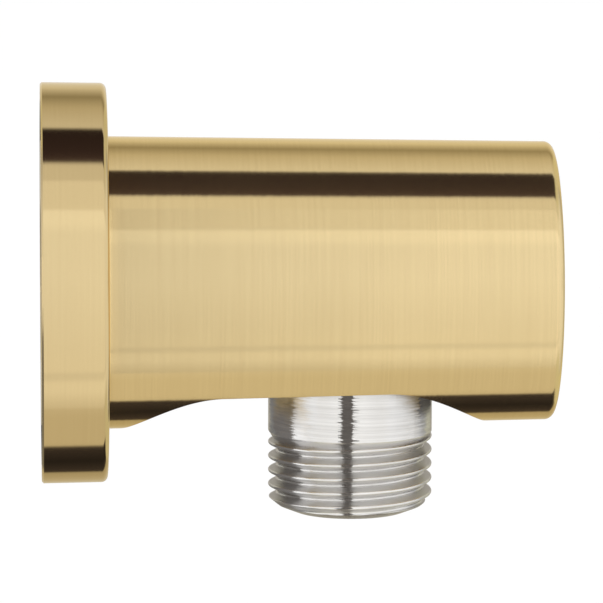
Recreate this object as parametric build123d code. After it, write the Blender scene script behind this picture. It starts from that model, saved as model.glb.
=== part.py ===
from build123d import *
import os

# Wall outlet elbow for a shower hose, in millimetres.
# The origin is the middle of the wall face, on the inlet axis.
# +X leads away from the wall, +Z is up, and the outlet points down.

# Pipe thread G 1/2, at the wall inlet and at the hose outlet
thread_major_d = 20.955
thread_minor_d = 18.631

# Arm of the body
arm_root_d = 37.2
arm_end_d = 35.5
projection = 65.2
arm_end_round = 1.1
wall_edge_chamfer = 0.5

# Water way inside the body
inlet_depth = 15.0
inlet_mouth_chamfer = 1.2
gallery_d = 11.0
gallery_rise = 3.5
gallery_past_outlet = 7.0
throat_d = 12.0
outlet_reach = 39.45

# Recess in the underside, a slot with round ends
recess_width = 25.75
recess_side_wall = 1.7
recess_to_front = 17.1
recess_to_wall = 29.4
recess_rim_round = 0.3

# Wall flange
flange_width = 6.9
flange_taper = 0.125
flange_depth = 8.35
flange_front_round = 0.8
flange_back_chamfer = 0.3
flange_play = 0.25
flange_rim = 2.2
flange_mouth_chamfer = 0.3

# Seals of the flange
gasket_depth = 3.0
gasket_play = 0.15
gasket_arm_gap = 1.35
grip_section_d = 1.8
grip_groove_play = 0.3
seal_touch = 0.02

# Outlet nipple
socket_depth = 6.8
socket_play = 0.05
washer_depth = 1.5
washer_play = 0.15
collar_foot_drop = 19.15
relief_chamfer = 0.7
relief_width = 0.4
tip_drop = 29.45
lead_chamfer_depth = 0.95
tip_cone_depth = 0.8
tip_face_d = 14.7
hex_key = 12.0
hex_depth = 8.0
nipple_top_chamfer = 0.4

# Check valve in the nipple
valve_d = 17.0
valve_play = 0.1
valve_length = 10.5
valve_wall = 1.9
valve_seat_lip = 1.8
valve_seat_depth = 1.4
valve_ring_section_d = 1.1
valve_ring_groove_play = 0.25
valve_ring_drop = 3.2

# Guide at the foot of the valve
guide_ledge = 0.5
guide_play = 0.05
guide_depth = 1.6
guide_wall = 1.0
guide_hub_d = 7.2
guide_hub_rise = 0.8
guide_arm_width = 1.6
guide_arm_count = 3

# Moving stopper of the valve
poppet_flow_gap = 0.9
poppet_head_depth = 1.3
poppet_nose_gap = 0.9
poppet_nose_rise = 0.7
poppet_nose_chamfer = 0.4
poppet_seal_depth = 0.8
poppet_seal_play = 0.1
stem_d = 2.4
stem_play = 0.1
stem_short_of_foot = 0.2

# Closing spring of the valve
spring_d = 6.0
spring_wire_d = 0.4
spring_turns = 3.5
spring_seat_play = 0.03

# Places that follow from the sizes above
arm_root_r = arm_root_d / 2
arm_end_r = arm_end_d / 2
flange_back_r = arm_root_r + flange_width
flange_front_r = flange_back_r - flange_taper
thread_major_r = thread_major_d / 2
thread_minor_r = thread_minor_d / 2
slot_wall_x = outlet_reach - recess_to_wall + recess_width / 2
slot_front_x = outlet_reach + recess_to_front - recess_width / 2
arm_slope = (arm_root_r - arm_end_r) / (projection - flange_depth)
arm_r_at_slot_front = arm_root_r - arm_slope * (slot_front_x - flange_depth)
rim_drop = (arm_r_at_slot_front**2 - (recess_width / 2) ** 2) ** 0.5
ceiling_z = recess_side_wall - rim_drop
shoulder_z = ceiling_z + socket_depth
nipple_top_z = shoulder_z - washer_depth
collar_foot_z = -collar_foot_drop
tip_z = -tip_drop
valve_chamber_r = valve_d / 2 - valve_wall
valve_seat_r = valve_chamber_r - valve_seat_lip
guide_r = valve_chamber_r + guide_ledge
poppet_r = valve_chamber_r - poppet_flow_gap
poppet_nose_r = valve_seat_r - poppet_nose_gap
valve_foot_z = nipple_top_z - valve_length
seat_z = nipple_top_z - valve_seat_depth
head_top_z = seat_z - poppet_seal_depth
head_foot_z = head_top_z - poppet_head_depth
guide_top_z = valve_foot_z + guide_depth
hub_top_z = guide_top_z + guide_hub_rise
valve_ring_z = nipple_top_z - valve_ring_drop
grip_x = (gasket_depth + flange_depth) / 2
outlet = Pos(outlet_reach, 0, 0)


def turned(points, axis):
    """Solid of revolution of a closed outline drawn in the XZ plane."""
    outline = Plane.XZ * make_face(Polyline(*points, close=True))
    return revolve(outline, axis=axis)


def about_inlet(points):
    """Turned about the inlet axis from (distance from the wall, radius) points."""
    return turned(points, Axis.X)


def about_outlet(points):
    """Turned about the outlet axis from (radius, height) points."""
    return outlet * turned(points, Axis.Z)


def ring_about_outlet(inner_r, outer_r, foot_z, top_z):
    """Plain ring about the outlet axis."""
    return about_outlet([(inner_r, foot_z), (outer_r, foot_z), (outer_r, top_z), (inner_r, top_z)])


def rod_about_outlet(radius, foot_z, top_z):
    """Plain rod about the outlet axis."""
    return outlet * Pos(0, 0, (foot_z + top_z) / 2) * Cylinder(radius, top_z - foot_z)


def make_elbow_body():
    # Tapered arm with a rounded free end
    arm = about_inlet([
        (0, 0),
        (0, arm_root_r - wall_edge_chamfer),
        (wall_edge_chamfer, arm_root_r),
        (flange_depth, arm_root_r),
        (projection, arm_end_r),
        (projection, 0),
    ])
    free_edge = arm.edges().filter_by(GeomType.CIRCLE).sort_by(Axis.X)[-1]
    arm = fillet(free_edge, arm_end_round)

    # Long slot cut up into the underside round the outlet
    slot_plan = Pos((slot_wall_x + slot_front_x) / 2, 0, ceiling_z) * SlotCenterToCenter(
        slot_front_x - slot_wall_x, recess_width
    )
    arm -= extrude(slot_plan, arm_root_r, dir=(0, 0, -1))
    rim = arm.edges().filter_by(lambda e: e.geom_type not in (GeomType.CIRCLE, GeomType.LINE))
    arm = fillet(rim, recess_rim_round)

    # Threaded inlet with a chamfered mouth, then the gallery to the outlet
    inlet = about_inlet([
        (0, 0),
        (0, thread_minor_r + inlet_mouth_chamfer),
        (inlet_mouth_chamfer, thread_minor_r),
        (inlet_depth, thread_minor_r),
        (inlet_depth, 0),
    ])
    gallery_end_x = outlet_reach + gallery_past_outlet
    gallery_length = gallery_end_x - inlet_depth / 2
    gallery = Pos(gallery_end_x - gallery_length / 2, 0, gallery_rise) * Rot(0, 90, 0) * Cylinder(
        gallery_d / 2, gallery_length
    )
    socket = rod_about_outlet(thread_major_r + socket_play, -arm_root_r, shoulder_z)
    throat = rod_about_outlet(throat_d / 2, shoulder_z, gallery_rise)
    return arm - inlet - gallery - socket - throat


def make_wall_flange():
    bore_r = arm_root_r + flange_play
    gasket_outer_r = flange_back_r - flange_rim
    ring = about_inlet([
        (0, gasket_outer_r),
        (0, flange_back_r - flange_back_chamfer),
        (flange_back_chamfer, flange_back_r),
        (flange_depth, flange_front_r),
        (flange_depth, bore_r + flange_mouth_chamfer),
        (flange_depth - flange_mouth_chamfer, bore_r),
        (gasket_depth, bore_r),
        (gasket_depth, gasket_outer_r),
    ])
    front_edge = ring.edges().filter_by(GeomType.CIRCLE).group_by(Axis.X)[-1].sort_by(SortBy.RADIUS)[-1]
    ring = fillet(front_edge, flange_front_round)
    groove_r = arm_root_r + seal_touch + grip_section_d + seal_touch
    groove_half = grip_section_d / 2 + grip_groove_play
    return ring - about_inlet([
        (grip_x - groove_half, bore_r - flange_play / 2),
        (grip_x - groove_half, groove_r),
        (grip_x + groove_half, groove_r),
        (grip_x + groove_half, bore_r - flange_play / 2),
    ])


def make_flange_grip_ring():
    middle_r = arm_root_r + seal_touch + grip_section_d / 2
    return Pos(grip_x, 0, 0) * Rot(0, 90, 0) * Torus(middle_r, grip_section_d / 2)


def make_wall_gasket():
    inner_r = arm_root_r + gasket_arm_gap
    outer_r = flange_back_r - flange_rim - gasket_play
    return about_inlet([(0, inner_r), (0, outer_r), (gasket_depth, outer_r), (gasket_depth, inner_r)])


def make_outlet_nipple():
    crest_r = thread_major_r
    relief_r = crest_r - relief_chamfer
    thread_top_z = collar_foot_z - 2 * relief_chamfer - relief_width
    cone_top_z = tip_z + tip_cone_depth
    nipple = about_outlet([
        (valve_d / 2, nipple_top_z),
        (crest_r - nipple_top_chamfer, nipple_top_z),
        (crest_r, nipple_top_z - nipple_top_chamfer),
        (crest_r, collar_foot_z),
        (relief_r, collar_foot_z - relief_chamfer),
        (relief_r, thread_top_z + relief_chamfer),
        (crest_r, thread_top_z),
        (crest_r, cone_top_z + lead_chamfer_depth),
        (thread_minor_r, cone_top_z),
        (tip_face_d / 2, tip_z),
        (hex_key / 2, tip_z),
        (hex_key / 2, valve_foot_z),
        (valve_d / 2, valve_foot_z),
    ])
    # Hexagon socket for the fitting key, open at the tip
    hexagon = Pos(outlet_reach, 0, tip_z) * RegularPolygon(hex_key / 2, 6, major_radius=False)
    return nipple - extrude(hexagon, hex_depth, dir=(0, 0, 1))


def make_nipple_washer():
    outer_r = thread_major_r - washer_play
    return ring_about_outlet(throat_d / 2 + washer_play, outer_r, nipple_top_z, shoulder_z)


def make_check_valve_housing():
    outer_r = valve_d / 2 - valve_play
    groove_r = valve_d / 2 - seal_touch - valve_ring_section_d - seal_touch
    groove_half = valve_ring_section_d / 2 + valve_ring_groove_play
    return about_outlet([
        (valve_seat_r, nipple_top_z),
        (outer_r, nipple_top_z),
        (outer_r, valve_ring_z + groove_half),
        (groove_r, valve_ring_z + groove_half),
        (groove_r, valve_ring_z - groove_half),
        (outer_r, valve_ring_z - groove_half),
        (outer_r, valve_foot_z),
        (guide_r + guide_play, valve_foot_z),
        (guide_r + guide_play, guide_top_z),
        (valve_chamber_r, guide_top_z),
        (valve_chamber_r, seat_z),
        (valve_seat_r, seat_z),
    ])


def make_check_valve_o_ring():
    middle_r = valve_d / 2 - seal_touch - valve_ring_section_d / 2
    return outlet * Pos(0, 0, valve_ring_z) * Torus(middle_r, valve_ring_section_d / 2)


def make_check_valve_guide():
    inner_r = guide_r - guide_wall
    hub_r = guide_hub_d / 2
    guide = ring_about_outlet(inner_r, guide_r, valve_foot_z, guide_top_z)
    guide += rod_about_outlet(hub_r, valve_foot_z, hub_top_z)
    arm_reach = guide_r - guide_wall / 2
    arm = Pos(arm_reach / 2, 0, valve_foot_z + guide_depth / 2) * Box(
        arm_reach, guide_arm_width, guide_depth
    )
    for turn in range(guide_arm_count):
        guide += outlet * Rot(0, 0, 360 / guide_arm_count * turn) * arm
    return guide - rod_about_outlet(stem_d / 2 + stem_play, valve_foot_z, hub_top_z)


def make_check_valve_poppet():
    nose_top_z = seat_z + poppet_nose_rise
    return about_outlet([
        (0, nose_top_z),
        (poppet_nose_r - poppet_nose_chamfer, nose_top_z),
        (poppet_nose_r, nose_top_z - poppet_nose_chamfer),
        (poppet_nose_r, head_top_z),
        (poppet_r, head_top_z),
        (poppet_r, head_foot_z),
        (stem_d / 2, head_foot_z),
        (stem_d / 2, valve_foot_z + stem_short_of_foot),
        (0, valve_foot_z + stem_short_of_foot),
    ])


def make_check_valve_seal():
    return ring_about_outlet(poppet_nose_r + poppet_seal_play, poppet_r, head_top_z, seat_z)


def make_check_valve_spring():
    wire_r = spring_wire_d / 2
    coil_foot_z = hub_top_z + wire_r + spring_seat_play
    coil_top_z = head_foot_z - wire_r - spring_seat_play
    coil_height = coil_top_z - coil_foot_z
    coil = Helix(coil_height / spring_turns, coil_height, spring_d / 2)
    section = Plane(origin=coil @ 0, z_dir=coil % 0) * Circle(wire_r)
    return outlet * Pos(0, 0, coil_foot_z) * sweep(section, path=coil, is_frenet=True)


pieces = {
    "elbow_body": make_elbow_body(),
    "wall_flange": make_wall_flange(),
    "flange_grip_ring": make_flange_grip_ring(),
    "wall_gasket": make_wall_gasket(),
    "outlet_nipple": make_outlet_nipple(),
    "nipple_washer": make_nipple_washer(),
    "check_valve_housing": make_check_valve_housing(),
    "check_valve_o_ring": make_check_valve_o_ring(),
    "check_valve_guide": make_check_valve_guide(),
    "check_valve_poppet": make_check_valve_poppet(),
    "check_valve_seal": make_check_valve_seal(),
    "check_valve_spring": make_check_valve_spring(),
}

os.makedirs("parts", exist_ok=True)
for name, shape in pieces.items():
    export_step(shape, f"parts/{name}.step")
    print(name, round(shape.volume, 1))
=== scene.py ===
import math
import bmesh
import bpy
from mathutils import Matrix, Vector


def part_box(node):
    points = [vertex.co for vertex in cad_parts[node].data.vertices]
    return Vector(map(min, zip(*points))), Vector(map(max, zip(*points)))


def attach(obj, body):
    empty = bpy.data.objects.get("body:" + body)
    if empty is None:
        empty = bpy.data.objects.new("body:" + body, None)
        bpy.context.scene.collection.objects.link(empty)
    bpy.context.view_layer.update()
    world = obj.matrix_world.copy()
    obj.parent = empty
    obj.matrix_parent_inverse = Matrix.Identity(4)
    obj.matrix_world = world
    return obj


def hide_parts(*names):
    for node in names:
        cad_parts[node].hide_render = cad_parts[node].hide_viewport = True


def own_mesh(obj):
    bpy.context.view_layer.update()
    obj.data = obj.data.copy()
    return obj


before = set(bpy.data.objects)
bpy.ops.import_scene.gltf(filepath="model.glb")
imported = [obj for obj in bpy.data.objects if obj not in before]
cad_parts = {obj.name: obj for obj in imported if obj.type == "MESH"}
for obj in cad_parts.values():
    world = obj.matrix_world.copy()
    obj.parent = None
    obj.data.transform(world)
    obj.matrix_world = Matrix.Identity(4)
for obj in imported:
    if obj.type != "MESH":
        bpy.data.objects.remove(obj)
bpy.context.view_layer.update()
mm = 0.001

# the arm lies along world X with its slot underneath, the nipple hangs along world Z
armTurn = Matrix(((0, 0, 1, 0), (0, 1, 0, 0), (-1, 0, 0, 0), (0, 0, 0, 1)))
outletX = (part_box("outlet_nipple")[0][0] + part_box("outlet_nipple")[1][0]) / 2
nippleTurn = Matrix.Translation((outletX, 0, 0))
asDrawn = Matrix.Identity(4)


# shared ways of working

def offAxis(co):
    return math.hypot(co.x, co.y)


def setRadius(v, radius):
    v.co.xy = v.co.xy.normalized() * radius


def vertsOf(geom):
    return {g for g in geom if isinstance(g, bmesh.types.BMVert)}


def edgesAmong(verts):
    return [e for e in {e for v in verts for e in v.link_edges} if set(e.verts) <= verts]


def drawOutline(bm, points, close=False):  # points are (distance along, radius) in mm
    verts = [bm.verts.new((r * mm, 0, a * mm)) for a, r in points]
    edges = [bm.edges.new(pair) for pair in zip(verts, verts[1:])]
    if close:
        edges.append(bm.edges.new((verts[-1], verts[0])))
    return edges


def spinRound(bm, steps):
    bmesh.ops.spin(
        bm, geom=bm.verts[:] + bm.edges[:], cent=(0, 0, 0), axis=(0, 0, 1),
        angle=math.tau, steps=steps, use_merge=True,
    )
    bmesh.ops.remove_doubles(bm, verts=bm.verts, dist=1e-7)


def roundEdges(bm, edges, width, segments):
    bmesh.ops.bevel(
        bm, geom=edges, offset=width * mm, affect="EDGES",
        segments=segments, profile=0.5, material=-1,
    )


def roundHoop(bm, along, radius, width, segments):  # rounds one hoop edge of a turned piece
    def onHoop(v):
        return abs(v.co.z - along * mm) < 1e-6 and abs(offAxis(v.co) - radius * mm) < 1e-6
    hoop = [e for e in bm.edges if onHoop(e.verts[0]) and onHoop(e.verts[1])]
    roundEdges(bm, hoop, width, segments)


def carryLoop(bm, edges, along, radius):  # draws a loop on to a new height and radius
    verts = vertsOf(bmesh.ops.extrude_edge_only(bm, edges=edges)["geom"])
    for v in verts:
        angle = math.atan2(v.co.y, v.co.x)
        setRadius(v, radius(angle) * mm if callable(radius) else radius * mm)
        v.co.z = along * mm
    return edgesAmong(verts)


def slicePlane(bm, height, normal, clear=False):
    bmesh.ops.bisect_plane(
        bm, geom=bm.verts[:] + bm.edges[:] + bm.faces[:], dist=1e-7,
        plane_co=(0, 0, height * mm), plane_no=normal, clear_outer=clear,
    )


def threadSheet(bm, thread):  # one rounded tooth, spun up a right-hand helix
    pitch, root, crest = thread["pitch"], thread["root"], thread["crest"]
    tip = 0.1373 * pitch  # the rounding of a pipe thread's crests and roots
    fan = [math.radians(a) for a in (0, 21, 42, 62.5)]  # as far as the flanks' slope
    foot = [(tip * math.sin(a), root + tip - tip * math.cos(a)) for a in fan]
    top = [(pitch / 2 - tip * math.sin(a), crest - tip + tip * math.cos(a)) for a in reversed(fan)]
    half = foot + top
    edges = drawOutline(bm, half + [(pitch - a, r) for a, r in reversed(half[:-1])])
    flanks = [e for e in edges if e.calc_length() > 0.5 * mm]
    bmesh.ops.subdivide_edges(bm, edges=flanks, cuts=5)
    steps = thread["steps"]
    bmesh.ops.spin(
        bm, geom=bm.verts[:] + bm.edges[:], cent=(0, 0, 0), axis=(0, 0, 1),
        dvec=(0, 0, pitch * mm / steps), angle=math.tau, steps=steps, use_merge=False,
    )
    oneTurn = bm.verts[:] + bm.edges[:] + bm.faces[:]
    for n in range(1, thread["turns"]):
        lifted = vertsOf(bmesh.ops.duplicate(bm, geom=oneTurn)["geom"])
        bmesh.ops.translate(bm, verts=list(lifted), vec=(0, 0, n * pitch * mm))
    bmesh.ops.remove_doubles(bm, verts=bm.verts, dist=1e-6)


def trimEnds(bm, low, high):  # cuts a sheet square at two heights, gives the two open loops
    slicePlane(bm, low, (0, 0, -1), clear=True)
    slicePlane(bm, high, (0, 0, 1), clear=True)
    ends = [e for e in bm.edges if e.is_boundary]
    middle = (low + high) / 2 * mm
    lower = [e for e in ends if e.verts[0].co.z < middle]
    upper = [e for e in ends if e.verts[0].co.z > middle]
    return lower, upper


def settle(bm):
    bmesh.ops.remove_doubles(bm, verts=bm.verts, dist=2e-7)
    bmesh.ops.recalc_face_normals(bm, faces=bm.faces)


def makeObject(name, bm, turn):
    bmesh.ops.transform(bm, matrix=turn, verts=bm.verts)
    mesh = bpy.data.meshes.new(name)
    bm.to_mesh(mesh)
    bm.free()
    obj = bpy.data.objects.new(name, mesh)
    bpy.context.scene.collection.objects.link(obj)
    return obj


def layTurnUv(mesh, turn):  # u runs along the outline, v round the axis, so brushing can follow them
    back = turn.inverted()
    layer = mesh.uv_layers.new(name="turn")
    for face in mesh.polygons:
        middle = back @ face.center
        start = math.atan2(middle.y, middle.x)
        for i in face.loop_indices:
            p = back @ mesh.vertices[mesh.loops[i].vertex_index].co
            angle = math.atan2(p.y, p.x) - start if offAxis(p) > 1e-6 else 0
            angle = (angle + math.pi) % math.tau - math.pi
            layer.data[i].uv = ((p.z - offAxis(p)) * 10, (start + angle) / math.tau)


def finishPiece(obj, turn, material, body, nodes, sharp=32):
    layTurnUv(obj.data, turn)
    obj.data.materials.clear()
    obj.data.materials.append(material)
    obj.data.shade_smooth()
    obj.data.set_sharp_from_angle(angle=math.radians(sharp))
    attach(obj, body)
    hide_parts(*nodes)
    print("piece", obj.name, len(obj.data.polygons), "faces")


def evenShading(obj):
    obj.modifiers.new("evenShading", "WEIGHTED_NORMAL").keep_sharp = True


# finishes

def nodeAt(tree, kind, **values):
    node = tree.nodes.new(kind)
    for key, value in values.items():
        setattr(node, key, value)
    return node


def setInputs(node, values):
    for name, value in values.items():
        node.inputs[name].default_value = value
    return node


def mathNode(tree, operation, value=None):
    node = nodeAt(tree, "ShaderNodeMath", operation=operation)
    if value is not None:
        node.inputs[1].default_value = value
    return node


def rangeNode(tree, low, high, toLow=0.0, toHigh=1.0):
    node = nodeAt(tree, "ShaderNodeMapRange")
    return setInputs(node, {"From Min": low, "From Max": high, "To Min": toLow, "To Max": toHigh})


def noiseNode(tree, scale, detail=2.0, roughness=0.5):
    node = nodeAt(tree, "ShaderNodeTexNoise")
    return setInputs(node, {"Scale": scale, "Detail": detail, "Roughness": roughness})


def bumpNode(tree, strength, depth):  # depth in mm
    return setInputs(nodeAt(tree, "ShaderNodeBump"), {"Strength": strength, "Distance": depth * mm})


def ramp(tree, low, high, lowColour, highColour):
    node = nodeAt(tree, "ShaderNodeValToRGB")
    node.color_ramp.elements[0].position = low
    node.color_ramp.elements[1].position = high
    node.color_ramp.elements[0].color = (*lowColour, 1)
    node.color_ramp.elements[1].color = (*highColour, 1)
    return node


def startMaterial(name):
    material = bpy.data.materials.new(name)
    material.use_nodes = True
    return material, material.node_tree, material.node_tree.nodes["Principled BSDF"]


markSizes = {"Fineness": 900.0, "Run": 40.0, "Patch": 60.0, "Rows": 500.0, "Stroke": 350.0}


def makeToolLines():  # fine lines round a turned or brushed piece, with slower patches under them
    group = bpy.data.node_groups.new("toolLines", "ShaderNodeTree")
    for name, value in markSizes.items():
        socket = group.interface.new_socket(name, in_out="INPUT", socket_type="NodeSocketFloat")
        socket.default_value = value
    for name in ("Lines", "Patches", "Strokes"):
        group.interface.new_socket(name, in_out="OUTPUT", socket_type="NodeSocketFloat")
    link = group.links.new
    source = nodeAt(group, "NodeGroupInput")
    sink = nodeAt(group, "NodeGroupOutput")
    uv = nodeAt(group, "ShaderNodeUVMap", uv_map="turn")
    coords = nodeAt(group, "ShaderNodeTexCoord")
    split = nodeAt(group, "ShaderNodeSeparateXYZ")
    link(uv.outputs["UV"], split.inputs[0])

    def drawnNoise(close, run, detail, roughness):  # packed close along the outline, long round the axis
        across = mathNode(group, "MULTIPLY")
        lift = nodeAt(group, "ShaderNodeCombineXYZ")
        stretch = nodeAt(group, "ShaderNodeVectorMath", operation="SCALE")
        joined = nodeAt(group, "ShaderNodeVectorMath", operation="ADD")
        noise = noiseNode(group, 1.0, detail, roughness)
        link(split.outputs["X"], across.inputs[0])
        link(source.outputs[close], across.inputs[1])
        link(across.outputs[0], lift.inputs["X"])
        link(coords.outputs["Object"], stretch.inputs[0])
        link(source.outputs[run], stretch.inputs["Scale"])
        link(stretch.outputs[0], joined.inputs[0])
        link(lift.outputs[0], joined.inputs[1])
        link(joined.outputs[0], noise.inputs["Vector"])
        return noise

    lines = drawnNoise("Fineness", "Run", 3.0, 0.65)
    strokes = drawnNoise("Rows", "Stroke", 2.0, 0.5)
    patches = noiseNode(group, markSizes["Patch"])
    link(coords.outputs["Object"], patches.inputs["Vector"])
    link(source.outputs["Patch"], patches.inputs["Scale"])
    for name, noise in (("Lines", lines), ("Patches", patches), ("Strokes", strokes)):
        link(noise.outputs["Fac"], sink.inputs[name])
    return group


toolLines = makeToolLines()


def turnedMetal(name, look):  # metal whose shine is drawn out along the outline by fine lines round it
    material, tree, shader = startMaterial(name)
    link = tree.links.new
    marks = nodeAt(tree, "ShaderNodeGroup", node_tree=toolLines)
    setInputs(marks, {key: look[key.lower()] for key in markSizes})
    # stray strokes lean the surface a little round the axis, so edges in the shine are ragged
    lean = rangeNode(tree, 0.0, 1.0, 0.5 - look["stray"] / 2, 0.5 + look["stray"] / 2)
    lean.clamp = False
    leanColour = setInputs(nodeAt(tree, "ShaderNodeCombineColor"), {"Red": 0.5, "Blue": 1.0})
    leaning = nodeAt(tree, "ShaderNodeNormalMap", uv_map="turn")
    tone = ramp(tree, 0.3, 0.7, look["dark"], look["light"])
    sheen = rangeNode(tree, 0.3, 0.7, *look["roughness"])
    bump = bumpNode(tree, look["bump"], look["depth"])
    tangent = nodeAt(tree, "ShaderNodeTangent", direction_type="UV_MAP", uv_map="turn")
    link(marks.outputs["Lines"], tone.inputs["Fac"])
    link(marks.outputs["Patches"], sheen.inputs["Value"])
    link(marks.outputs["Lines"], bump.inputs["Height"])
    link(marks.outputs["Strokes"], lean.inputs["Value"])
    link(lean.outputs["Result"], leanColour.inputs["Green"])
    link(leanColour.outputs["Color"], leaning.inputs["Color"])
    link(leaning.outputs["Normal"], bump.inputs["Normal"])
    link(tone.outputs["Color"], shader.inputs["Base Color"])
    link(sheen.outputs["Result"], shader.inputs["Roughness"])
    link(bump.outputs["Normal"], shader.inputs["Normal"])
    link(tangent.outputs["Tangent"], shader.inputs["Tangent"])
    shader.inputs["Metallic"].default_value = 1.0
    shader.inputs["Anisotropic"].default_value = look["drawn"]
    shader.inputs["Specular Tint"].default_value = (*look["edge"], 1)
    return material


goldLook = {
    "dark": (0.785, 0.615, 0.33), "light": (0.825, 0.652, 0.357), "edge": (0.97, 0.89, 0.68),
    "roughness": (0.14, 0.158), "drawn": 1.0, "bump": 0.1, "depth": 0.01,
    "fineness": 420.0, "run": 45.0, "patch": 70.0, "rows": 300.0, "stroke": 250.0, "stray": 0.006,
}
flangeLook = {  # the flange is polished finer than the arm
    "dark": (0.672, 0.523, 0.279), "light": (0.692, 0.543, 0.293), "edge": (1.0, 0.94, 0.78),
    "roughness": (0.088, 0.1), "drawn": 0.3, "bump": 0.06, "depth": 0.006,
    "fineness": 420.0, "run": 45.0, "patch": 70.0, "rows": 300.0, "stroke": 250.0, "stray": 0.002,
}
silverLook = {
    "dark": (0.71, 0.7, 0.687), "light": (0.87, 0.862, 0.85), "edge": (0.6, 0.59, 0.58),
    "roughness": (0.18, 0.25), "drawn": 1.0, "bump": 1.0, "depth": 0.018,
    "fineness": 330.0, "run": 60.0, "patch": 260.0, "rows": 760.0, "stroke": 420.0, "stray": 0.2,
}
brushedGold = turnedMetal("brushedGold", goldLook)
polishedGold = turnedMetal("polishedGold", flangeLook)
turnedSilver = turnedMetal("turnedSilver", silverLook)


def dullThread(material, look):  # the cut thread is duller than the collar and the crests
    tree = material.node_tree
    link = tree.links.new
    shader = tree.nodes["Principled BSDF"]
    tone = shader.inputs["Base Color"].links[0].from_socket
    sheen = shader.inputs["Roughness"].links[0].from_socket
    coords = nodeAt(tree, "ShaderNodeTexCoord")
    split = nodeAt(tree, "ShaderNodeSeparateXYZ")
    centre = nodeAt(tree, "ShaderNodeVectorMath", operation="MULTIPLY_ADD")
    centre.inputs[1].default_value = (1, 1, 0)
    centre.inputs[2].default_value = (-outletX, 0, 0)
    radius = nodeAt(tree, "ShaderNodeVectorMath", operation="LENGTH")
    height = rangeNode(tree, look["root"] * mm, look["crest"] * mm)
    flank = nodeAt(tree, "ShaderNodeValToRGB")
    flank.color_ramp.elements[0].position = look["flankFrom"] - look["flankEdge"]
    flank.color_ramp.elements[1].position = look["flankTo"] + look["flankEdge"]
    for position in (look["flankFrom"], look["flankTo"]):
        flank.color_ramp.elements.new(position).color = (1, 1, 1, 1)
    flank.color_ramp.elements[3].color = (0, 0, 0, 1)
    below = rangeNode(tree, (look["foot"] + look["footEdge"]) * mm, look["foot"] * mm)
    cut = mathNode(tree, "MULTIPLY")
    worn = nodeAt(tree, "ShaderNodeMix", data_type="RGBA")
    worn.inputs["B"].default_value = (*look["colour"], 1)
    dull = nodeAt(tree, "ShaderNodeMix", data_type="FLOAT")
    dull.inputs["B"].default_value = look["roughness"]
    link(coords.outputs["Object"], centre.inputs[0])
    link(centre.outputs[0], radius.inputs[0])
    link(radius.outputs["Value"], height.inputs["Value"])
    link(height.outputs["Result"], flank.inputs["Fac"])
    link(coords.outputs["Object"], split.inputs[0])
    link(split.outputs["Z"], below.inputs["Value"])
    link(flank.outputs["Color"], cut.inputs[0])
    link(below.outputs["Result"], cut.inputs[1])
    link(cut.outputs[0], worn.inputs["Factor"])
    link(tone, worn.inputs["A"])
    link(worn.outputs["Result"], shader.inputs["Base Color"])
    link(cut.outputs[0], dull.inputs["Factor"])
    link(sheen, dull.inputs["A"])
    link(dull.outputs["Result"], shader.inputs["Roughness"])


dullThread(turnedSilver, {
    "root": 9.3155, "crest": 10.4775, "flankFrom": 0.2, "flankTo": 0.84, "flankEdge": 0.12,
    "foot": -19.2, "footEdge": 0.1, "colour": (0.74, 0.725, 0.71), "roughness": 0.42,
})


def mouldedStuff(name, look):  # rubber, foam and acetal: a fine grain over a slow change of tone
    material, tree, shader = startMaterial(name)
    link = tree.links.new
    coords = nodeAt(tree, "ShaderNodeTexCoord")
    slow = noiseNode(tree, look["patch"], 3.0)
    fine = nodeAt(tree, "ShaderNodeTexVoronoi" if look["cells"] else "ShaderNodeTexNoise")
    fine.inputs["Scale"].default_value = look["grain"]
    tone = ramp(tree, 0.3, 0.7, look["dark"], look["light"])
    bump = bumpNode(tree, look["bump"], look["depth"])
    sheen = rangeNode(tree, 0.0, 1.0, *look["roughness"])
    link(coords.outputs["Object"], slow.inputs["Vector"])
    link(coords.outputs["Object"], fine.inputs["Vector"])
    link(slow.outputs["Fac"], tone.inputs["Fac"])
    link(slow.outputs["Fac"], sheen.inputs["Value"])
    link(fine.outputs[0], bump.inputs["Height"])
    link(tone.outputs["Color"], shader.inputs["Base Color"])
    link(sheen.outputs["Result"], shader.inputs["Roughness"])
    link(bump.outputs["Normal"], shader.inputs["Normal"])
    shader.inputs["Specular IOR Level"].default_value = look["specular"]
    return material


sealRubber = mouldedStuff("sealRubber", {
    "dark": (0.012, 0.012, 0.013), "light": (0.03, 0.03, 0.031), "patch": 220.0, "grain": 2600.0,
    "cells": False, "bump": 0.3, "depth": 0.03, "roughness": (0.5, 0.7), "specular": 0.35,
})
gasketFoam = mouldedStuff("gasketFoam", {
    "dark": (0.022, 0.022, 0.023), "light": (0.05, 0.05, 0.05), "patch": 260.0, "grain": 1500.0,
    "cells": True, "bump": 0.7, "depth": 0.12, "roughness": (0.8, 0.95), "specular": 0.2,
})
valvePlastic = mouldedStuff("valvePlastic", {
    "dark": (0.62, 0.62, 0.57), "light": (0.72, 0.72, 0.68), "patch": 300.0, "grain": 3000.0,
    "cells": False, "bump": 0.12, "depth": 0.02, "roughness": (0.35, 0.48), "specular": 0.5,
})
poppetPlastic = mouldedStuff("poppetPlastic", {
    "dark": (0.028, 0.075, 0.22), "light": (0.045, 0.11, 0.29), "patch": 300.0, "grain": 3000.0,
    "cells": False, "bump": 0.12, "depth": 0.02, "roughness": (0.32, 0.45), "specular": 0.5,
})


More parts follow.
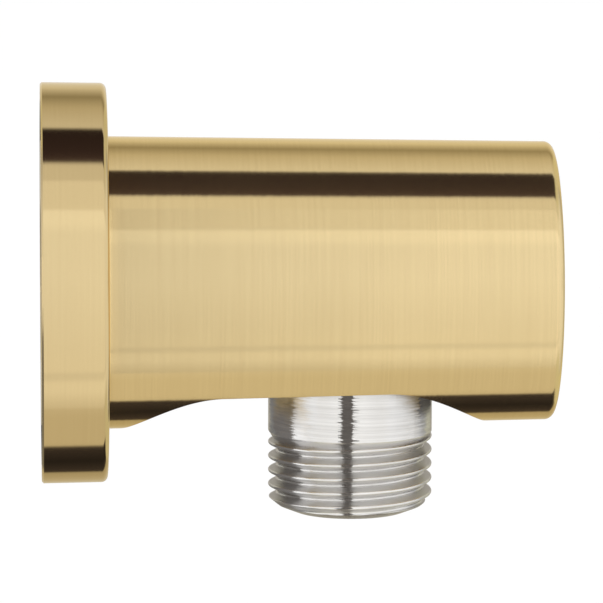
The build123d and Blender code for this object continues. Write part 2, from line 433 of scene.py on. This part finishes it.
def grainyMetal(name, look):  # spring wire and as-cast plating, whose darker tone in the recess is painted shade: a fine grain in the metal's tone
    material, tree, shader = startMaterial(name)
    link = tree.links.new
    coords = nodeAt(tree, "ShaderNodeTexCoord")
    grain = noiseNode(tree, look["grain"], look["detail"])
    tone = ramp(tree, look["from"], look["to"], look["dark"], look["light"])
    link(coords.outputs["Object"], grain.inputs["Vector"])
    link(grain.outputs["Fac"], tone.inputs["Fac"])
    link(tone.outputs["Color"], shader.inputs["Base Color"])
    if look["bump"]:
        bump = bumpNode(tree, look["bump"], look["depth"])
        link(grain.outputs["Fac"], bump.inputs["Height"])
        link(bump.outputs["Normal"], shader.inputs["Normal"])
    shader.inputs["Metallic"].default_value = 1.0
    shader.inputs["Roughness"].default_value = look["roughness"]
    return material


springSteel = grainyMetal("springSteel", {
    "dark": (0.5, 0.5, 0.5), "light": (0.66, 0.66, 0.66), "from": 0.35, "to": 0.65,
    "grain": 3500.0, "detail": 2.0, "bump": 0.0, "roughness": 0.28,
})
castGoldPaintedShade = grainyMetal("castGoldPaintedShade", {  # the recess is plated as cast, duller than the brushed outside; its darker tone is painted shade for the shadowed recess
    "dark": (0.5, 0.38, 0.19), "light": (0.58, 0.445, 0.232), "from": 0.3, "to": 0.7,
    "grain": 1500.0, "detail": 3.0, "bump": 0.2, "depth": 0.02, "roughness": 0.36,
})
print("finishes ready")


# wall flange: a turned ring with a seat for the gasket behind and a groove for the grip ring

flange = {
    "backRadius": 25.5, "frontRadius": 25.375, "depth": 8.35, "frontRound": 0.8, "backEdge": 0.22,
    "bore": 18.85, "mouthEdge": 0.3, "gasketSeat": 23.3, "seatDepth": 3.0, "seatEdge": 0.15,
    "grooveFrom": 4.475, "grooveTo": 6.875, "grooveRadius": 20.44, "steps": 256,
}


def buildFlange(f):
    bm = bmesh.new()
    halfWay = (f["backRadius"] + f["frontRadius"]) / 2
    facePath = (f["frontRadius"] + f["bore"]) / 2
    drawOutline(bm, [
        (0, f["gasketSeat"]), (0, f["backRadius"]), (f["depth"] / 2, halfWay),
        (f["depth"], f["frontRadius"]), (f["depth"], facePath), (f["depth"], f["bore"]),
        (f["grooveTo"], f["bore"]), (f["grooveTo"], f["grooveRadius"]),
        (f["grooveFrom"], f["grooveRadius"]), (f["grooveFrom"], f["bore"]),
        (f["seatDepth"], f["bore"]), (f["seatDepth"], f["gasketSeat"]),
    ], close=True)
    spinRound(bm, f["steps"])
    roundHoop(bm, f["depth"], f["frontRadius"], f["frontRound"], 8)
    roundHoop(bm, f["depth"], f["bore"], f["mouthEdge"], 3)
    roundHoop(bm, 0, f["backRadius"], f["backEdge"], 1)
    roundHoop(bm, 0, f["gasketSeat"], f["seatEdge"], 2)
    settle(bm)
    obj = makeObject("wallFlangeRing", bm, armTurn)
    finishPiece(obj, armTurn, polishedGold, "flange", ["wall_flange"])
    evenShading(obj)


buildFlange(flange)


# arm of the elbow: a tapered turned body with a long slot cut up into its underside

arm = {
    "rootRadius": 18.6, "endRadius": 17.75, "taperFrom": 8.35, "length": 65.2, "endRound": 1.1,
    "wallEdge": 0.5, "wallPath": 9, "endPaths": (12, 6),
    "lastHoop": 63.2, "rootHoops": 6, "hoops": 56, "steps": 240,
    "slotHalf": 12.875, "slotWall": 22.925, "slotFront": 43.675, "ceiling": -10.98,
    "slotSteps": 120, "sideCuts": 35, "rimRound": 0.3, "rootRound": 0.6, "rimBand": 0.8, "clearing": 1.7,
    "galleryRadius": 5.5, "galleryRise": 3.5, "galleryFrom": 12, "galleryEnd": 46.45,
    "socketRadius": 10.53, "socketFoot": -18, "shoulder": -4.18, "throatRadius": 6.0, "throatFoot": -6,
    # the last two entries bound the faces inside the recess that take the as-cast gold, whose darker tone
    # is painted shade
    "skinFrom": 0.6, "skinDepth": 0.03, "castShadeFrom": 0.01, "castShadeDepth": 0.35,
}
inletThread = {
    "pitch": 1.814, "root": 9.3155, "crest": 10.4775, "steps": 96, "turns": 11, "turnsBefore": 2.2,
    "mouthEdge": 1.2, "mouthClear": 0.5, "depth": 15.0, "runOut": 12.6, "runOutLength": 0.8,
}


def armRadius(x):  # in metres
    t = (x / mm - arm["taperFrom"]) / (arm["length"] - arm["taperFrom"])
    return (arm["rootRadius"] + (arm["endRadius"] - arm["rootRadius"]) * max(t, 0)) * mm


def spinePoint(co):  # nearest point on the slot's middle line, in plan
    return Vector((min(max(co.x, arm["slotWall"] * mm), arm["slotFront"] * mm), 0))


def dropOnArm(v):
    v.co.z = -math.sqrt(armRadius(v.co.x) ** 2 - v.co.y ** 2)


def cutSlot(bm, a):
    half = a["slotHalf"] * mm
    hole = []
    for face in bm.faces:
        middle = face.calc_center_median()
        if middle.z < 0 and (middle.xy - spinePoint(middle)).length < half + a["clearing"] * mm:
            hole.append(face)
    bmesh.ops.delete(bm, geom=hole, context="FACES")
    stairs = [e for e in bm.edges if e.is_boundary]
    # the rim starts as a circle, pulled apart into a slot and laid on the taper
    halfStep = Matrix.Rotation(math.pi / a["slotSteps"], 4, "Z")
    ring = bmesh.ops.create_circle(bm, radius=half, segments=a["slotSteps"], matrix=halfStep)
    for v in ring["verts"]:
        v.co.x += a["slotFront"] * mm if v.co.x > 0 else a["slotWall"] * mm
    sides = [e for e in bm.edges if e.is_wire and e.calc_length() > 5 * mm]
    bmesh.ops.subdivide_edges(bm, edges=sides, cuts=a["sideCuts"])
    rim = [e for e in bm.edges if e.is_wire]
    outer = vertsOf(bmesh.ops.extrude_edge_only(bm, edges=rim)["geom"])
    for v in outer:
        spine = spinePoint(v.co)
        v.co.xy = spine + (v.co.xy - spine) * (1 + a["rimBand"] / a["slotHalf"])
    for v in outer | {v for e in rim for v in e.verts}:
        dropOnArm(v)
    lip = edgesAmong(outer)
    bmesh.ops.triangle_fill(bm, use_beauty=True, edges=lip + stairs, normal=(0, 0, 1))
    top = vertsOf(bmesh.ops.extrude_edge_only(bm, edges=rim)["geom"])
    for v in top:
        v.co.z = a["ceiling"] * mm
    roof = edgesAmong(top)
    bmesh.ops.edgeloop_fill(bm, edges=roof)
    roundEdges(bm, roof, a["rootRound"], 3)
    roundEdges(bm, [e for e in rim if e.is_valid], a["rimRound"], 4)


def plainCutter(name, radius, low, high, turn):
    bm = bmesh.new()
    bmesh.ops.create_cone(
        bm, cap_ends=True, segments=96, radius1=radius * mm, radius2=radius * mm,
        depth=(high - low) * mm, matrix=Matrix.Translation((0, 0, (low + high) / 2 * mm)),
    )
    return makeObject(name, bm, turn)


def inletCutter(t):
    bm = bmesh.new()
    threadSheet(bm, t)
    bmesh.ops.translate(bm, verts=bm.verts, vec=(0, 0, -t["turnsBefore"] * t["pitch"] * mm))
    for v in bm.verts:
        depth = v.co.z / mm
        radius = offAxis(v.co) / mm
        fade = min(max((depth - t["runOut"]) / t["runOutLength"], 0), 1)
        radius += (t["root"] - radius) * fade
        setRadius(v, max(radius, t["root"] + t["mouthEdge"] - depth) * mm)
    for end in trimEnds(bm, -t["mouthClear"], t["depth"]):
        bmesh.ops.edgeloop_fill(bm, edges=end)
    settle(bm)
    return makeObject("inletCutter", bm, armTurn)


def settleArmNormals(mesh, a):  # arm and flat faces take the true slope, so no cut shows in the shine
    slope = (a["rootRadius"] - a["endRadius"]) / (a["length"] - a["taperFrom"])
    roundMiddle = (a["length"] - a["endRound"]) * mm
    roundRadius = armRadius(roundMiddle) - a["endRound"] * mm
    square = 0.999
    normals = []
    for face in mesh.polygons:
        spot = face.center
        radius = math.hypot(spot.y, spot.z)
        onSkin = abs(radius - armRadius(spot.x)) < a["skinDepth"] * mm
        onArm = onSkin and a["skinFrom"] * mm < spot.x < roundMiddle
        onRound = spot.x > roundMiddle and radius > roundRadius and not onArm
        onCeiling = abs(face.normal.z) > square and abs(spot.z - a["ceiling"] * mm) < 1e-5
        flat = abs(face.normal.x) > square or onCeiling
        for i in face.loop_indices:
            p = mesh.vertices[mesh.loops[i].vertex_index].co
            out = Vector((0, p.y, p.z)).normalized()
            if onArm:
                lean = slope if p.x > a["taperFrom"] * mm else 0
                normals.append((out + Vector((lean, 0, 0))).normalized())
            elif onRound and face.normal.x < square:
                turn = Vector((p.x - roundMiddle, 0, 0)) + out * (math.hypot(p.y, p.z) - roundRadius)
                normals.append(turn.normalized())
            else:
                normals.append(face.normal.copy() if flat else Vector((0, 0, 0)))
    mesh.normals_split_custom_set(normals)


def applyCuts(obj, cutters):  # cuts each one out of the piece, then deletes it
    for cutter in cutters:
        cut = obj.modifiers.new(cutter.name, "BOOLEAN")
        cut.operation, cut.solver, cut.object = "DIFFERENCE", "EXACT", cutter
    bpy.context.view_layer.update()
    ready = obj.evaluated_get(bpy.context.evaluated_depsgraph_get())
    rough = obj.data
    obj.data = bpy.data.meshes.new_from_object(ready)
    obj.modifiers.clear()
    obj.data.name = obj.name
    bpy.data.meshes.remove(rough)
    for cutter in cutters:
        bpy.data.meshes.remove(cutter.data)
    bm = bmesh.new()
    bm.from_mesh(obj.data)
    bmesh.ops.dissolve_degenerate(bm, edges=bm.edges, dist=2e-6)
    bm.to_mesh(obj.data)
    bm.free()


def buildArm(a):
    bm = bmesh.new()
    outline = drawOutline(bm, [
        (0, 0), (0, a["wallPath"]), (0, a["rootRadius"] - a["wallEdge"]), (a["wallEdge"], a["rootRadius"]),
        (a["taperFrom"], a["rootRadius"]), (a["lastHoop"], armRadius(a["lastHoop"] * mm) / mm),
        (a["length"], a["endRadius"]), *((a["length"], path) for path in a["endPaths"]), (a["length"], 0),
    ])
    bmesh.ops.subdivide_edges(bm, edges=[outline[4]], cuts=a["hoops"])
    bmesh.ops.subdivide_edges(bm, edges=[outline[3]], cuts=a["rootHoops"])
    spinRound(bm, a["steps"])
    roundHoop(bm, a["length"], a["endRadius"], a["endRound"], 8)
    bmesh.ops.transform(bm, matrix=armTurn, verts=bm.verts)
    cutSlot(bm, a)
    settle(bm)
    obj = makeObject("elbowArm", bm, asDrawn)
    toGallery = Matrix.Translation((0, 0, a["galleryRise"] * mm)) @ armTurn
    applyCuts(obj, [
        inletCutter(inletThread),
        plainCutter("galleryCutter", a["galleryRadius"], a["galleryFrom"], a["galleryEnd"], toGallery),
        plainCutter("socketCutter", a["socketRadius"], a["socketFoot"], a["shoulder"], nippleTurn),
        plainCutter("throatCutter", a["throatRadius"], a["throatFoot"], a["galleryRise"], nippleTurn),
    ])
    finishPiece(obj, armTurn, brushedGold, "fitting", ["elbow_body"])
    settleArmNormals(obj.data, a)
    obj.data.materials.append(castGoldPaintedShade)
    roundFrom = (a["length"] - a["endRound"]) * mm
    for face in obj.data.polygons:  # everything well inside the outer skin is as cast, and its darker gold there is painted shade
        spot = face.center
        skin = armRadius(spot.x) - math.hypot(spot.y, spot.z)
        if skin > a["castShadeDepth"] * mm and a["castShadeFrom"] * mm < spot.x < roundFrom:
            face.material_index = 1


buildArm(arm)


# outlet nipple: plain collar, pipe thread, chamfered tip with a hexagon for the fitting key

nipple = {
    "top": -5.68, "topEdge": 0.4, "collarFoot": -19.15, "footSlope": 0.635, "footLap": 0.05,
    "leadTop": -27.7, "coneTop": -28.65, "tip": -29.45, "tipRadius": 7.35,
    "hexFlat": 6.0, "hexEdge": 0.12, "hexTop": -21.45,
    "bore": 6.0, "boreStep": 0.002, "valveSeat": -16.18, "valveBore": 8.5,
}
outletThread = {
    "pitch": 1.814, "root": 9.3155, "crest": 10.4775, "steps": 120, "turns": 8,
    "crestAtLeft": -20.7, "turnsBelow": 6,
}


def threadLimits(z):  # the cone under the collar, and the lead-in at the tip
    n = nipple
    crest = outletThread["crest"]
    lead = (crest - outletThread["root"]) / (n["leadTop"] - n["coneTop"])
    return crest - max(n["collarFoot"] - z, 0) * n["footSlope"], crest - max(n["leadTop"] - z, 0) * lead


def hexRadius(angle):
    return nipple["hexFlat"] / math.cos((angle + math.pi / 6) % (math.pi / 3) - math.pi / 6)


def hexMouth(angle):
    return hexRadius(angle) + nipple["hexEdge"]


def buildNipple(n, t):
    bm = bmesh.new()
    threadSheet(bm, t)
    # a tooth's crest stands half a pitch up its outline, and the left side is half a turn on
    shift = t["crestAtLeft"] - t["pitch"] * t["turnsBelow"]
    bmesh.ops.translate(bm, verts=bm.verts, vec=(0, 0, shift * mm))
    for height in (n["collarFoot"], n["leadTop"]):  # edges that stay crisp
        slicePlane(bm, height, (0, 0, 1))
    for v in bm.verts:
        least, most = threadLimits(v.co.z / mm)
        setRadius(v, min(max(offAxis(v.co) / mm, least), most) * mm)
    low, high = trimEnds(bm, n["coneTop"], n["collarFoot"] + n["footLap"])
    for along, radius in (
        (n["top"] - n["topEdge"], t["crest"]), (n["top"], t["crest"] - n["topEdge"]),
        (n["top"], n["valveBore"]), (n["valveSeat"], n["valveBore"]), (n["valveSeat"], n["bore"]),
    ):
        high = carryLoop(bm, high, along, radius)
    for along, radius in (
        (n["tip"], n["tipRadius"]), (n["tip"], hexMouth), (n["tip"] + n["hexEdge"], hexRadius),
        (n["hexTop"], hexRadius), (n["hexTop"], n["bore"] - n["boreStep"]),
    ):
        low = carryLoop(bm, low, along, radius)
    bmesh.ops.bridge_loops(bm, edges=low + high)
    settle(bm)
    obj = makeObject("outletNippleThreaded", bm, nippleTurn)
    finishPiece(obj, nippleTurn, turnedSilver, "fitting", ["outlet_nipple"])
    evenShading(obj)


buildNipple(nipple, outletThread)


# closing spring of the check valve, built at one fixed length; the real spring shortens as the stopper
# lifts

spring = {"radius": 3.0, "wire": 0.2, "turns": 3.5, "foot": -13.55, "top": -9.41, "steps": 48}


def buildSpring(s):
    bm = bmesh.new()
    rise = s["top"] - s["foot"]
    steps = int(s["steps"] * s["turns"])
    wireStart = Matrix.Translation((s["radius"] * mm, 0, s["foot"] * mm))
    ring = bmesh.ops.create_circle(
        bm, radius=s["wire"] * mm, segments=12, cap_ends=True,
        matrix=wireStart @ Matrix.Rotation(math.pi / 2, 4, "X"),
    )
    bmesh.ops.spin(
        bm, geom=ring["verts"] + bm.edges[:] + bm.faces[:], cent=(0, 0, 0), axis=(0, 0, 1),
        dvec=(0, 0, rise * mm / steps), angle=math.tau * s["turns"], steps=steps, use_merge=False,
    )
    settle(bm)
    obj = makeObject("valveSpringCoil", bm, nippleTurn)
    finishPiece(obj, nippleTurn, springSteel, "fitting", ["check_valve_spring"], sharp=50)
    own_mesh(obj)


buildSpring(spring)


# CAD nodes that keep their own shape take these finishes

nodeFinish = {
    "flange_grip_ring": sealRubber, "wall_gasket": gasketFoam, "nipple_washer": sealRubber,
    "check_valve_housing": valvePlastic, "check_valve_o_ring": sealRubber,
    "check_valve_guide": valvePlastic, "check_valve_poppet": poppetPlastic, "check_valve_seal": sealRubber,
}
for node, finish in nodeFinish.items():
    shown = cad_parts[node]
    shown.data.materials.clear()
    shown.data.materials.append(finish)
print("node finishes set", len(nodeFinish))


# studio: pale floor, even white light, and a tent that only shows in the metal's shine

studio = {
    "floorDrop": 1.0, "floorSize": 40.0, "floorTone": 0.93, "floorRoughness": 0.9, "light": 1.08,
    "tentRadius": 4.0, "tentLength": 30.0, "sideFrom": 4.1, "sideTo": 4.9,
    "endFrom": 29.9, "barHalf": 1.1, "barEdge": 2.6, "barTone": 1.12, "endTone": 0.62,
    "flagMiddle": 0.2, "flagFrom": 1.6, "flagTo": 1.9, "flagEnd": (0.75, 0.73, 0.57),
    "fadeFrom": 0.9, "fadeTo": 2.4, "fade": 0.92, "backTone": 0.25,
    "gapFrom": -0.88, "gapTo": -0.03, "gapDepth": 1.49, "gapTone": 0.0,
    # degrees round the fitting from the camera, seen from above, and brightness
    "sides": [
        (40, 1.08), (63, 1.02), (80, 1.0), (94, 0.98), (103, 0.84), (113, 0.68), (124, 0.5), (136, 0.36),
    ],
    # degrees round the arm from the camera side, brightness, warmth
    "panels": [
        (-180, 0.72, 0.45), (-150, 0.6, 0.9), (-132.6, 0.5, 0.9), (-131, 0.06, 0.5),
        (-116, 0.026, 0.4), (-100.2, 0.055, 0.5), (-98.6, 0.74, 0.7), (-75, 0.745, 0.7),
        (-68.6, 0.785, 0.6), (-67.6, 0.89, 0.4), (-56.5, 1.09, 0.2), (-49.9, 1.09, 0.2),
        (-48.6, 0.965, 0.2), (-44.8, 0.965, 0.2), (-43.5, 1.07, 0.2), (-30, 1.07, 0.15),
        (10, 1.14, 0.0), (36, 1.13, 0.0), (42, 1.22, 0.0), (49.4, 1.22, 0.0),
        (50.6, 1.03, 0.2), (67.6, 1.02, 0.2), (68.6, 0.83, 0.3), (79.6, 0.83, 0.3),
        (81.2, 0.065, 1.0), (88, 0.042, 1.0), (106.3, 0.026, 1.0), (107.9, 0.82, 0.3),
        (128, 0.64, 0.7), (142, 0.36, 1.0), (158, 0.78, 0.5), (180, 0.85, 0.3),
    ],
    # a panel darker than this leans to brown; each cast is what warmth takes off green and blue
    "darkBelow": 0.1, "darkCast": (0.34, 0.25), "paleCast": (0.1, 0.34),
}


def emptyMaterial(name):
    material = bpy.data.materials.new(name)
    material.use_nodes = True
    material.node_tree.nodes.clear()
    return material, material.node_tree


def showOnlyInShine(obj):
    obj.visible_camera = obj.visible_diffuse = obj.visible_shadow = False
    obj.visible_transmission = obj.visible_volume_scatter = False


def stripes(tree, stops):  # stops are (place, colour)
    node = nodeAt(tree, "ShaderNodeValToRGB")
    elements = node.color_ramp.elements
    while len(elements) < len(stops):
        elements.new(0.5)
    for element, (place, colour) in zip(elements, stops):
        element.position = place
        element.color = (*colour, 1)
    return node


def panelStops(s):
    stops = []
    for angle, bright, warm in s["panels"]:
        cast = s["darkCast"] if bright < s["darkBelow"] else s["paleCast"]
        tint = (1, 1 - cast[0] * warm, 1 - cast[1] * warm)
        stops.append(((angle + 180) / 360, [bright * t for t in tint]))
    return stops


def makeTentCloth(s):
    material, tree = emptyMaterial("tentCloth")
    link = tree.links.new

    def wired(node, *sources):  # joins sources to a node's first sockets, gives its first output
        for socket, source in zip(node.inputs, sources):
            link(source, socket)
        return node.outputs[0]

    def product(first, *others):
        for other in others:
            first = wired(mathNode(tree, "MULTIPLY"), first, other)
        return first

    def mixed(factor, under, over, **values):  # over is a socket or a plain colour
        node = nodeAt(tree, "ShaderNodeMix", data_type="RGBA", **values)
        link(factor, node.inputs["Factor"])
        link(under, node.inputs["A"])
        if isinstance(over, tuple):
            node.inputs["B"].default_value = (*over, 1)
        else:
            link(over, node.inputs["B"])
        return node.outputs["Result"]

    coords = nodeAt(tree, "ShaderNodeTexCoord")
    split = nodeAt(tree, "ShaderNodeSeparateXYZ")
    link(coords.outputs["Object"], split.inputs[0])
    x, y, z = (split.outputs[axis] for axis in "XYZ")
    front = wired(mathNode(tree, "MULTIPLY", -1.0), y)
    reach = wired(mathNode(tree, "ABSOLUTE"), x)
    # panels run along the tent and dim a little away from the middle
    turn = wired(mathNode(tree, "ARCTAN2"), z, front)
    cloth = wired(stripes(tree, panelStops(s)), wired(rangeNode(tree, -math.pi, math.pi), turn))
    faded = nodeAt(tree, "ShaderNodeVectorMath", operation="SCALE")
    link(cloth, faded.inputs[0])
    link(wired(rangeNode(tree, s["fadeFrom"], s["fadeTo"], 1.0, s["fade"]), reach), faded.inputs["Scale"])
    # the dark panels stop short of the tent's ends
    fromFlag = wired(mathNode(tree, "ABSOLUTE"), wired(mathNode(tree, "SUBTRACT", s["flagMiddle"]), x))
    flag = wired(rangeNode(tree, s["flagFrom"], s["flagTo"]), fromFlag)
    flagged = mixed(flag, faded.outputs[0], s["flagEnd"], blend_type="LIGHTEN")
    # further along, the side walls change with the bearing
    compass = wired(mathNode(tree, "DIVIDE", math.pi), wired(mathNode(tree, "ARCTAN2"), reach, front))
    walls = wired(stripes(tree, [(angle / 180, (tone,) * 3) for angle, tone in s["sides"]]), compass)
    ends = mixed(wired(rangeNode(tree, s["sideFrom"], s["sideTo"]), reach), flagged, walls)
    # behind the fitting the far left wall is dark below
    behind = wired(mathNode(tree, "GREATER_THAN", 0.0), y)
    leftward = wired(mathNode(tree, "LESS_THAN", 0.0), x)
    low = wired(mathNode(tree, "LESS_THAN", 0.0), z)
    backed = mixed(product(behind, flag, low, leftward), ends, (s["backTone"],) * 3)
    # each end cap has a bright bar down its middle
    farEnd = wired(mathNode(tree, "GREATER_THAN", s["endFrom"]), reach)
    offMiddle = wired(mathNode(tree, "ABSOLUTE"), y)
    bar = wired(rangeNode(tree, s["barHalf"], s["barEdge"], s["barTone"], s["endTone"]), offMiddle)
    capped = mixed(farEnd, backed, bar)
    # the front is dark in one gap, left of the fitting
    gapLeft = wired(mathNode(tree, "GREATER_THAN", s["gapFrom"]), x)
    gapRight = wired(mathNode(tree, "LESS_THAN", s["gapTo"]), x)
    gapFront = wired(mathNode(tree, "GREATER_THAN", s["gapDepth"]), front)
    shut = mixed(product(gapLeft, gapRight, gapFront), capped, (s["gapTone"],) * 3)
    glow = nodeAt(tree, "ShaderNodeEmission")
    out = nodeAt(tree, "ShaderNodeOutputMaterial")
    link(shut, glow.inputs["Color"])
    link(glow.outputs[0], out.inputs["Surface"])
    return material


def buildStudio(s):
    bm = bmesh.new()
    bmesh.ops.create_grid(bm, x_segments=4, y_segments=4, size=s["floorSize"])
    bmesh.ops.translate(bm, verts=bm.verts, vec=(0, 0, -s["floorDrop"]))
    floor = makeObject("paleFloor", bm, asDrawn)
    paint, _, shader = startMaterial("floorPaint")
    shader.inputs["Base Color"].default_value = (s["floorTone"],) * 3 + (1,)
    shader.inputs["Roughness"].default_value = s["floorRoughness"]
    floor.data.materials.append(paint)
    floor.visible_glossy = False
    bm = bmesh.new()
    bmesh.ops.create_cone(
        bm, cap_ends=True, segments=128, radius1=s["tentRadius"], radius2=s["tentRadius"],
        depth=s["tentLength"] * 2,
    )
    tent = makeObject("studioTent", bm, armTurn)
    tent.data.materials.append(makeTentCloth(s))
    showOnlyInShine(tent)
    world = bpy.data.worlds.new("evenLight")
    world.use_nodes = True
    sky = world.node_tree.nodes["Background"]
    sky.inputs["Color"].default_value = (1, 1, 1, 1)
    sky.inputs["Strength"].default_value = s["light"]
    scene = bpy.context.scene
    scene.world = world
    scene.view_settings.view_transform = "Standard"
    scene.view_settings.look = "None"
    print("studio built")


buildStudio(studio)


# small cards round the nipple, seen only in shine, give the silver its pale and dark bands

cards = [
    {"ends": ((24.0, -12.1), (24.0, -6.78)), "low": -34.0, "high": -16.9, "colour": (1.12, 1.12, 1.12)},
    {"ends": ((24.0, -6.78), (24.0, 3.0)), "low": -34.0, "high": -16.9, "colour": (0.2, 0.188, 0.18)},
    {"ends": ((39.2, -12.7), (36.99, -12.7)), "low": -38.0, "high": -11.6, "colour": (0.135, 0.122, 0.112)},
    {"ends": ((54.0, 7.0), (54.0, -4.0)), "low": -17.6, "high": -11.2, "colour": (0.08, 0.072, 0.066)},
]


def makeCardFace(name, colour):  # glows on the front, clear from behind
    material, tree = emptyMaterial(name)
    link = tree.links.new
    glow = nodeAt(tree, "ShaderNodeEmission")
    glow.inputs["Color"].default_value = (*colour, 1)
    clear = nodeAt(tree, "ShaderNodeBsdfTransparent")
    facing = nodeAt(tree, "ShaderNodeNewGeometry")
    oneSide = nodeAt(tree, "ShaderNodeMixShader")
    out = nodeAt(tree, "ShaderNodeOutputMaterial")
    link(facing.outputs["Backfacing"], oneSide.inputs[0])
    link(glow.outputs[0], oneSide.inputs[1])
    link(clear.outputs[0], oneSide.inputs[2])
    link(oneSide.outputs[0], out.inputs["Surface"])
    return material


def buildCards(cards):
    for number, c in enumerate(cards, 1):
        bm = bmesh.new()
        near, far = c["ends"]
        corners = [(*near, c["low"]), (*far, c["low"]), (*far, c["high"]), (*near, c["high"])]
        bm.faces.new([bm.verts.new(Vector(p) * mm) for p in corners])
        card = makeObject("studioCard%d" % number, bm, asDrawn)
        card.data.materials.append(makeCardFace("cardFace%d" % number, c["colour"]))
        showOnlyInShine(card)
    print("cards placed")


buildCards(cards)


# camera at the photograph's angle

view = {
    "target": (33, 0, 0), "distance": 678, "azimuth": -3.07, "elevation": 8.3, "roll": 0.15,
    "lens": 317.5, "sensor": 36, "aimDown": 2.56, "aimRight": 0.2,
}


def placeCamera(c):
    a, e, r = (math.radians(c[k]) for k in ("azimuth", "elevation", "roll"))
    back = Vector((math.sin(a) * math.cos(e), -math.cos(a) * math.cos(e), math.sin(e)))
    right = Vector((math.cos(a), math.sin(a), 0))
    up = back.cross(right)
    eye = Vector(c["target"]) * mm + back * c["distance"] * mm
    aim = Vector(c["target"]) * mm - up * c["aimDown"] * mm + right * c["aimRight"] * mm
    data = bpy.data.cameras.new("photoCamera")
    data.lens, data.sensor_width = c["lens"], c["sensor"]
    data.clip_start, data.clip_end = 0.01, 200
    camera = bpy.data.objects.new("photoCamera", data)
    bpy.context.scene.collection.objects.link(camera)
    away = (eye - aim).normalized()
    across = (right - away * right.dot(away)).normalized()
    turned = across * math.cos(r) + away.cross(across) * math.sin(r)
    basis = Matrix((turned, away.cross(turned), away)).transposed()
    camera.matrix_world = Matrix.Translation(eye) @ basis.to_4x4()
    bpy.context.scene.camera = camera
    print("camera placed")


placeCamera(view)
